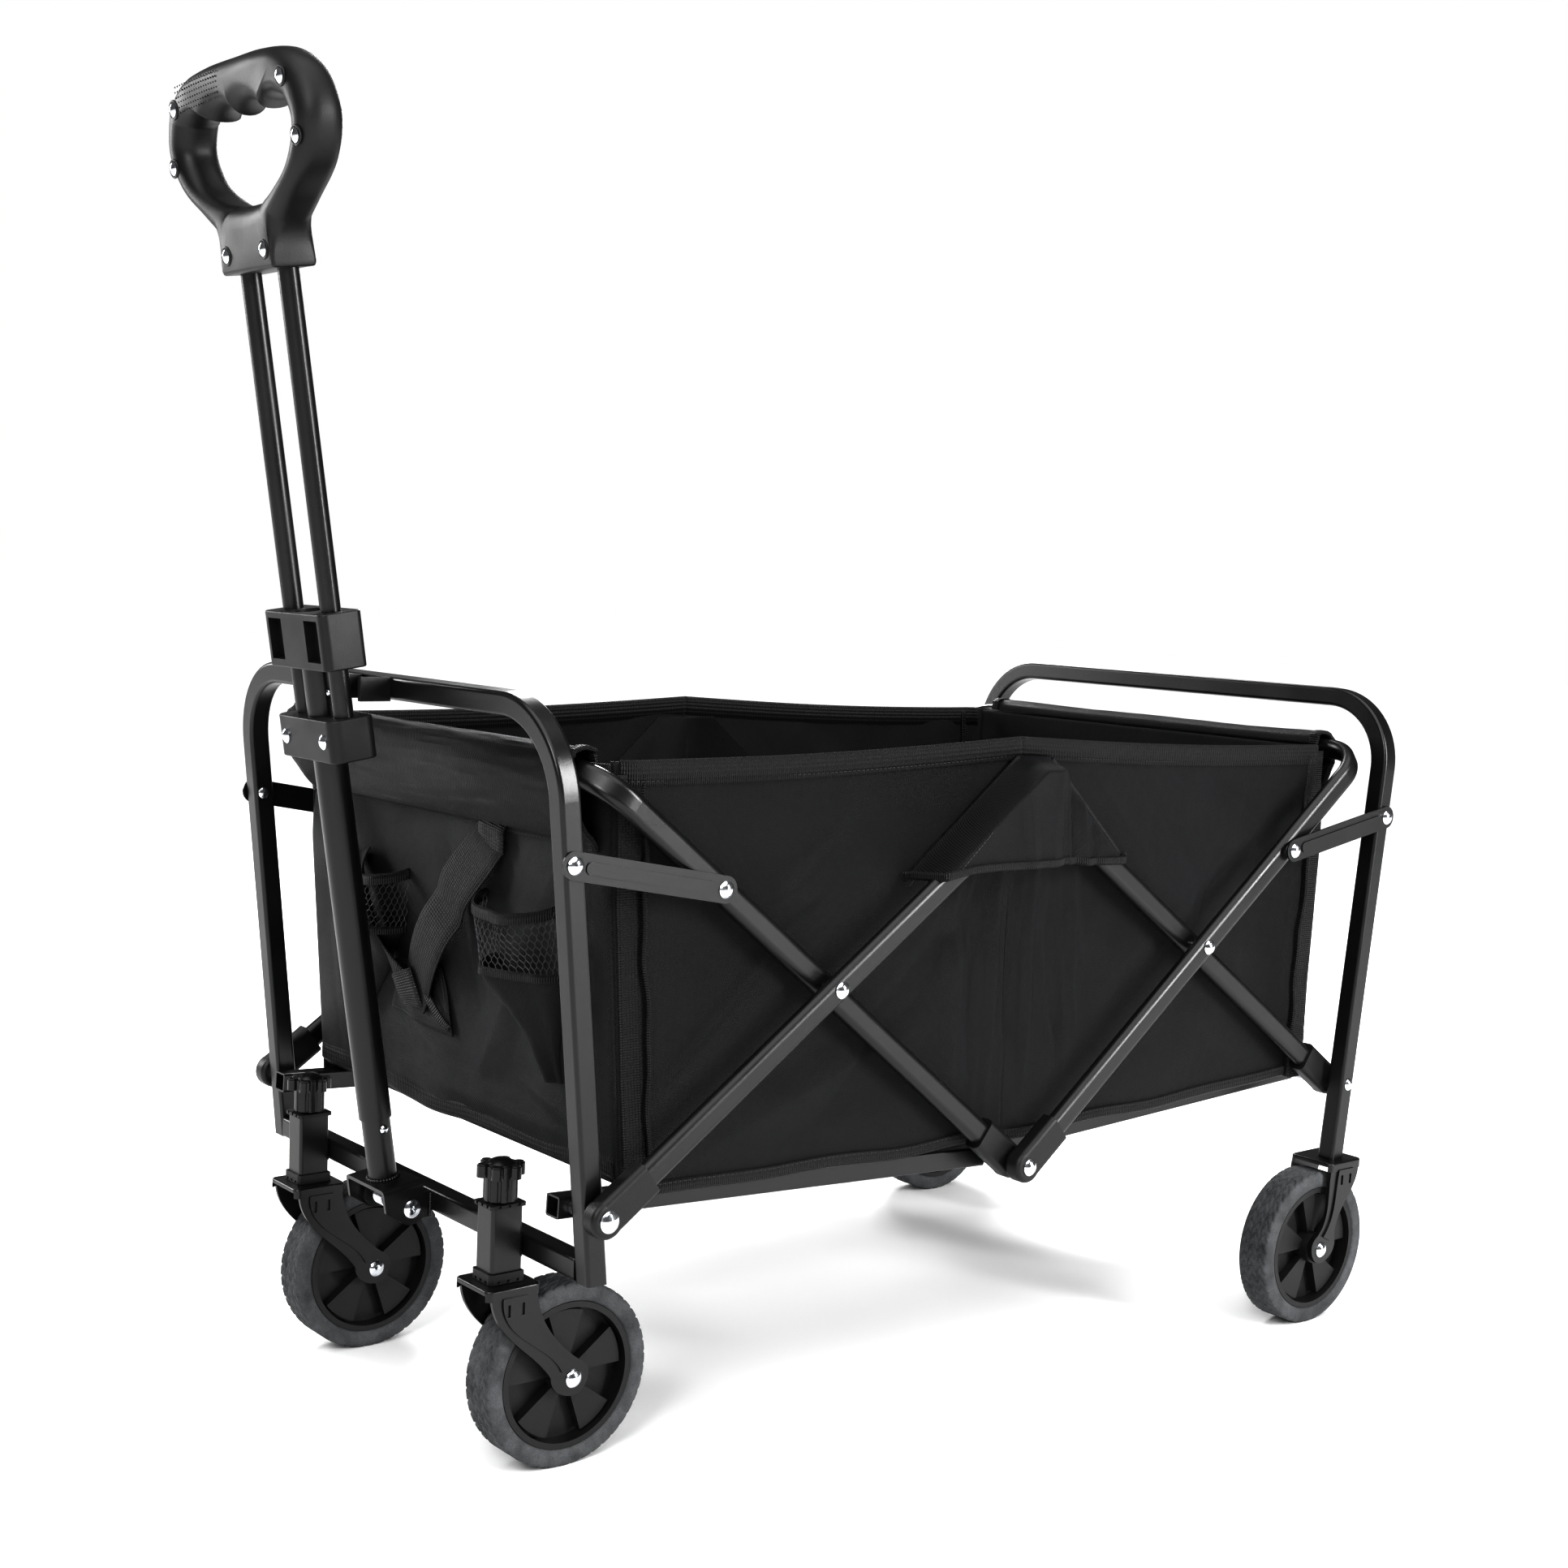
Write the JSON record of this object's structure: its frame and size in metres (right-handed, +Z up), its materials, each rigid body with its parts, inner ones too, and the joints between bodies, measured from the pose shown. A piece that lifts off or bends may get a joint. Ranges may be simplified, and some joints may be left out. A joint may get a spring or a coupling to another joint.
{
  "type": "folding wagon",
  "caption": "Folding utility wagon with a fabric basket on scissor side frames, swivel front casters, fixed rear wheels and a telescopic pull handle.",
  "frame": {"origin": "on the floor, below the middle of the whole wagon's box", "axes": "+Z up, +Y from the pull handle towards the rear wheels, +X to the wagon's right side as seen from the handle end looking at the wagon"},
  "size_m": [0.553, 1.0345, 1.0041],
  "materials": {
    "frame_paint": "powder coated, semi-gloss",
    "chrome_parts": "polished",
    "plastic_parts": "fine-textured",
    "gloss_parts": "gloss",
    "wheel_disc": "satin",
    "wheel_tread": "matt",
    "basket_cloth": "woven",
    "pocket_mesh": "open mesh"
  },
  "bodies": {
    "front_frame": {"front_frame_tube": "frame_paint", "front_crossbar": "frame_paint", "caster_sleeves": "frame_paint", "sleeve_bushes": "plastic_parts", "handle_rest_clip": "frame_paint", "front_bolts": "chrome_parts"},
    "handle": {"handle_bracket": "frame_paint", "handle_pivot_pin": "chrome_parts", "handle_springs": "chrome_parts", "handle_pole": "frame_paint", "pole_upper_collar": "plastic_parts"},
    "grip_slide": {"handle_thin_tubes": "frame_paint", "handle_lower_collar": "plastic_parts", "handle_grip": "plastic_parts", "handle_rivets": "chrome_parts"},
    "stub_button": {"stub_button": "chrome_parts"},
    "pole_button": {"pole_button": "chrome_parts"},
    "caster_right": {"caster_fork_right": "frame_paint", "caster_axle_right": "chrome_parts"},
    "caster_left": {"caster_fork_left": "frame_paint", "caster_axle_left": "chrome_parts"},
    "front_wheel_right": {"front_tyre_right": "wheel_tread", "front_rim_right": "wheel_disc"},
    "front_wheel_left": {"front_tyre_left": "wheel_tread", "front_rim_left": "wheel_disc"},
    "knob_right": {"caster_knob_right": "plastic_parts"},
    "knob_left": {"caster_knob_left": "plastic_parts"},
    "rear_frame": {"rear_frame_tube": "frame_paint", "rear_forks": "frame_paint", "rear_axles": "chrome_parts", "rear_bolts": "chrome_parts"},
    "rear_wheel_right": {"rear_tyre_right": "wheel_tread", "rear_rim_right": "wheel_disc"},
    "rear_wheel_left": {"rear_tyre_left": "wheel_tread", "rear_rim_left": "wheel_disc"},
    "front_brace": {"front_braces": "frame_paint", "front_brace_caps": "plastic_parts", "front_brace_rivets": "chrome_parts"},
    "rear_brace": {"rear_braces": "frame_paint", "rear_brace_caps": "plastic_parts", "rear_brace_rivets": "chrome_parts"},
    "front_bow": {"front_bow": "frame_paint", "front_bow_caps": "plastic_parts", "centre_cross_tube": "frame_paint"},
    "rear_bow": {"rear_bow": "frame_paint", "rear_bow_caps": "plastic_parts", "rear_bow_bolts": "chrome_parts"},
    "front_link": {"front_links": "frame_paint", "front_link_rivets": "chrome_parts"},
    "rear_link": {"rear_links": "frame_paint", "rear_link_rivets": "chrome_parts"},
    "front_floor": {"front_floor_bars": "frame_paint", "basket_front_floor": "basket_cloth"},
    "rear_floor": {"rear_floor_bars": "frame_paint", "basket_rear_floor": "basket_cloth"},
    "basket_front": {"basket_front_wall": "basket_cloth", "basket_front_sides": "basket_cloth", "cup_pockets": "pocket_mesh"},
    "basket_rear": {"basket_rear_wall": "basket_cloth", "basket_rear_sides": "basket_cloth"}
  },
  "joints": [
    {"name": "fold", "type": "hinge", "parent": "front_frame", "child": "front_brace", "pos_m": [0, -0.3456, 0.218], "axis": [1, 0, 0], "range_deg": [0, 42]},
    {"name": "rear_brace_turn", "type": "hinge", "parent": "front_brace", "child": "rear_brace", "pos_m": [0, 0.0644, 0.5054], "axis": [1, 0, 0], "range_deg": [-84.08, 0]},
    {"name": "rear_frame_turn", "type": "hinge", "parent": "rear_brace", "child": "rear_frame", "pos_m": [0, 0.4744, 0.218], "axis": [1, 0, 0], "range_deg": [0, 42.04]},
    {"name": "front_bow_turn", "type": "hinge", "parent": "front_brace", "child": "front_bow", "pos_m": [0, -0.1416, 0.361], "axis": [1, 0, 0], "range_deg": [-81.31, 0]},
    {"name": "rear_bow_turn", "type": "hinge", "parent": "rear_brace", "child": "rear_bow", "pos_m": [0, 0.2704, 0.361], "axis": [1, 0, 0], "range_deg": [0, 81.31]},
    {"name": "basket_front_hang", "type": "hinge", "parent": "front_bow", "child": "basket_front", "pos_m": [0, -0.3456, 0.5224], "axis": [1, 0, 0], "range_deg": [0, 39.27], "deforming": ["basket_front_sides"]},
    {"name": "basket_rear_hang", "type": "hinge", "parent": "rear_bow", "child": "basket_rear", "pos_m": [0, 0.4744, 0.5224], "axis": [1, 0, 0], "range_deg": [-39.27, 0], "deforming": ["basket_rear_sides"]},
    {"name": "front_link_turn", "type": "hinge", "parent": "front_frame", "child": "front_link", "pos_m": [0, -0.3706, 0.464], "axis": [1, 0, 0], "range_deg": [0, 76.77]},
    {"name": "rear_link_turn", "type": "hinge", "parent": "rear_frame", "child": "rear_link", "pos_m": [0, 0.4994, 0.464], "axis": [1, 0, 0], "range_deg": [-76.77, 0]},
    {"name": "front_floor_fold", "type": "hinge", "parent": "front_frame", "child": "front_floor", "pos_m": [0, -0.3456, 0.218], "axis": [1, 0, 0], "range_deg": [0, 74.16], "deforming": ["basket_front_floor"]},
    {"name": "rear_floor_fold", "type": "hinge", "parent": "rear_frame", "child": "rear_floor", "pos_m": [0, 0.4744, 0.218], "axis": [1, 0, 0], "range_deg": [-74.16, 0], "deforming": ["basket_rear_floor"]},
    {"name": "handle_tilt", "type": "hinge", "parent": "front_frame", "child": "handle", "pos_m": [0, -0.3682, 0.17141], "axis": [1, 0, 0], "range_deg": [0, 80], "stiffness_Nm_per_rad": 3, "springref_deg": -34.38},
    {"name": "grip_slide", "type": "slide", "parent": "handle", "child": "grip_slide", "axis": [0, -0.1514, 0.9885], "range_m": [-0.23, 0]},
    {"name": "stub_button_press", "type": "slide", "parent": "handle", "child": "stub_button", "axis": [1, 0, 0], "range_m": [-0.003, 0], "stiffness_N_per_m": 600, "springref_m": 0.003},
    {"name": "pole_button_press", "type": "slide", "parent": "handle", "child": "pole_button", "axis": [1, 0, 0], "range_m": [-0.003, 0], "stiffness_N_per_m": 600, "springref_m": 0.003},
    {"name": "caster_swivel_right", "type": "hinge", "parent": "front_frame", "child": "caster_right", "pos_m": [0.149, -0.3636, 0.15], "axis": [0, 0, 1], "continuous": true},
    {"name": "front_wheel_spin_right", "type": "hinge", "parent": "caster_right", "child": "front_wheel_right", "pos_m": [0.149, -0.3106, 0.07], "axis": [1, 0, 0], "continuous": true},
    {"name": "rear_wheel_spin_right", "type": "hinge", "parent": "rear_frame", "child": "rear_wheel_right", "pos_m": [0.25, 0.4384, 0.07], "axis": [1, 0, 0], "continuous": true},
    {"name": "knob_turn_right", "type": "hinge", "parent": "front_frame", "child": "knob_right", "pos_m": [0.149, -0.3636, 0.225], "axis": [0, 0, 1], "range_deg": [0, 90]},
    {"name": "caster_swivel_left", "type": "hinge", "parent": "front_frame", "child": "caster_left", "pos_m": [-0.149, -0.3636, 0.15], "axis": [0, 0, 1], "continuous": true},
    {"name": "front_wheel_spin_left", "type": "hinge", "parent": "caster_left", "child": "front_wheel_left", "pos_m": [-0.149, -0.3106, 0.07], "axis": [1, 0, 0], "continuous": true},
    {"name": "rear_wheel_spin_left", "type": "hinge", "parent": "rear_frame", "child": "rear_wheel_left", "pos_m": [-0.25, 0.4384, 0.07], "axis": [1, 0, 0], "continuous": true},
    {"name": "knob_turn_left", "type": "hinge", "parent": "front_frame", "child": "knob_left", "pos_m": [-0.149, -0.3636, 0.225], "axis": [0, 0, 1], "range_deg": [0, 90]}
  ],
  "couplings": [
    {"joint": "rear_brace_turn", "follows": "fold", "ratio": -2},
    {"joint": "rear_frame_turn", "follows": "fold", "ratio": 1},
    {"joint": "front_bow_turn", "follows": "fold", "ratio": -1.934},
    {"joint": "rear_bow_turn", "follows": "fold", "ratio": 1.934},
    {"joint": "basket_front_hang", "follows": "fold", "ratio": 0.934},
    {"joint": "basket_rear_hang", "follows": "fold", "ratio": -0.934},
    {"joint": "front_link_turn", "follows": "fold", "ratio": 1.826},
    {"joint": "rear_link_turn", "follows": "fold", "ratio": -1.826},
    {"joint": "front_floor_fold", "follows": "fold", "ratio": 1.764},
    {"joint": "rear_floor_fold", "follows": "fold", "ratio": -1.764}
  ]
}
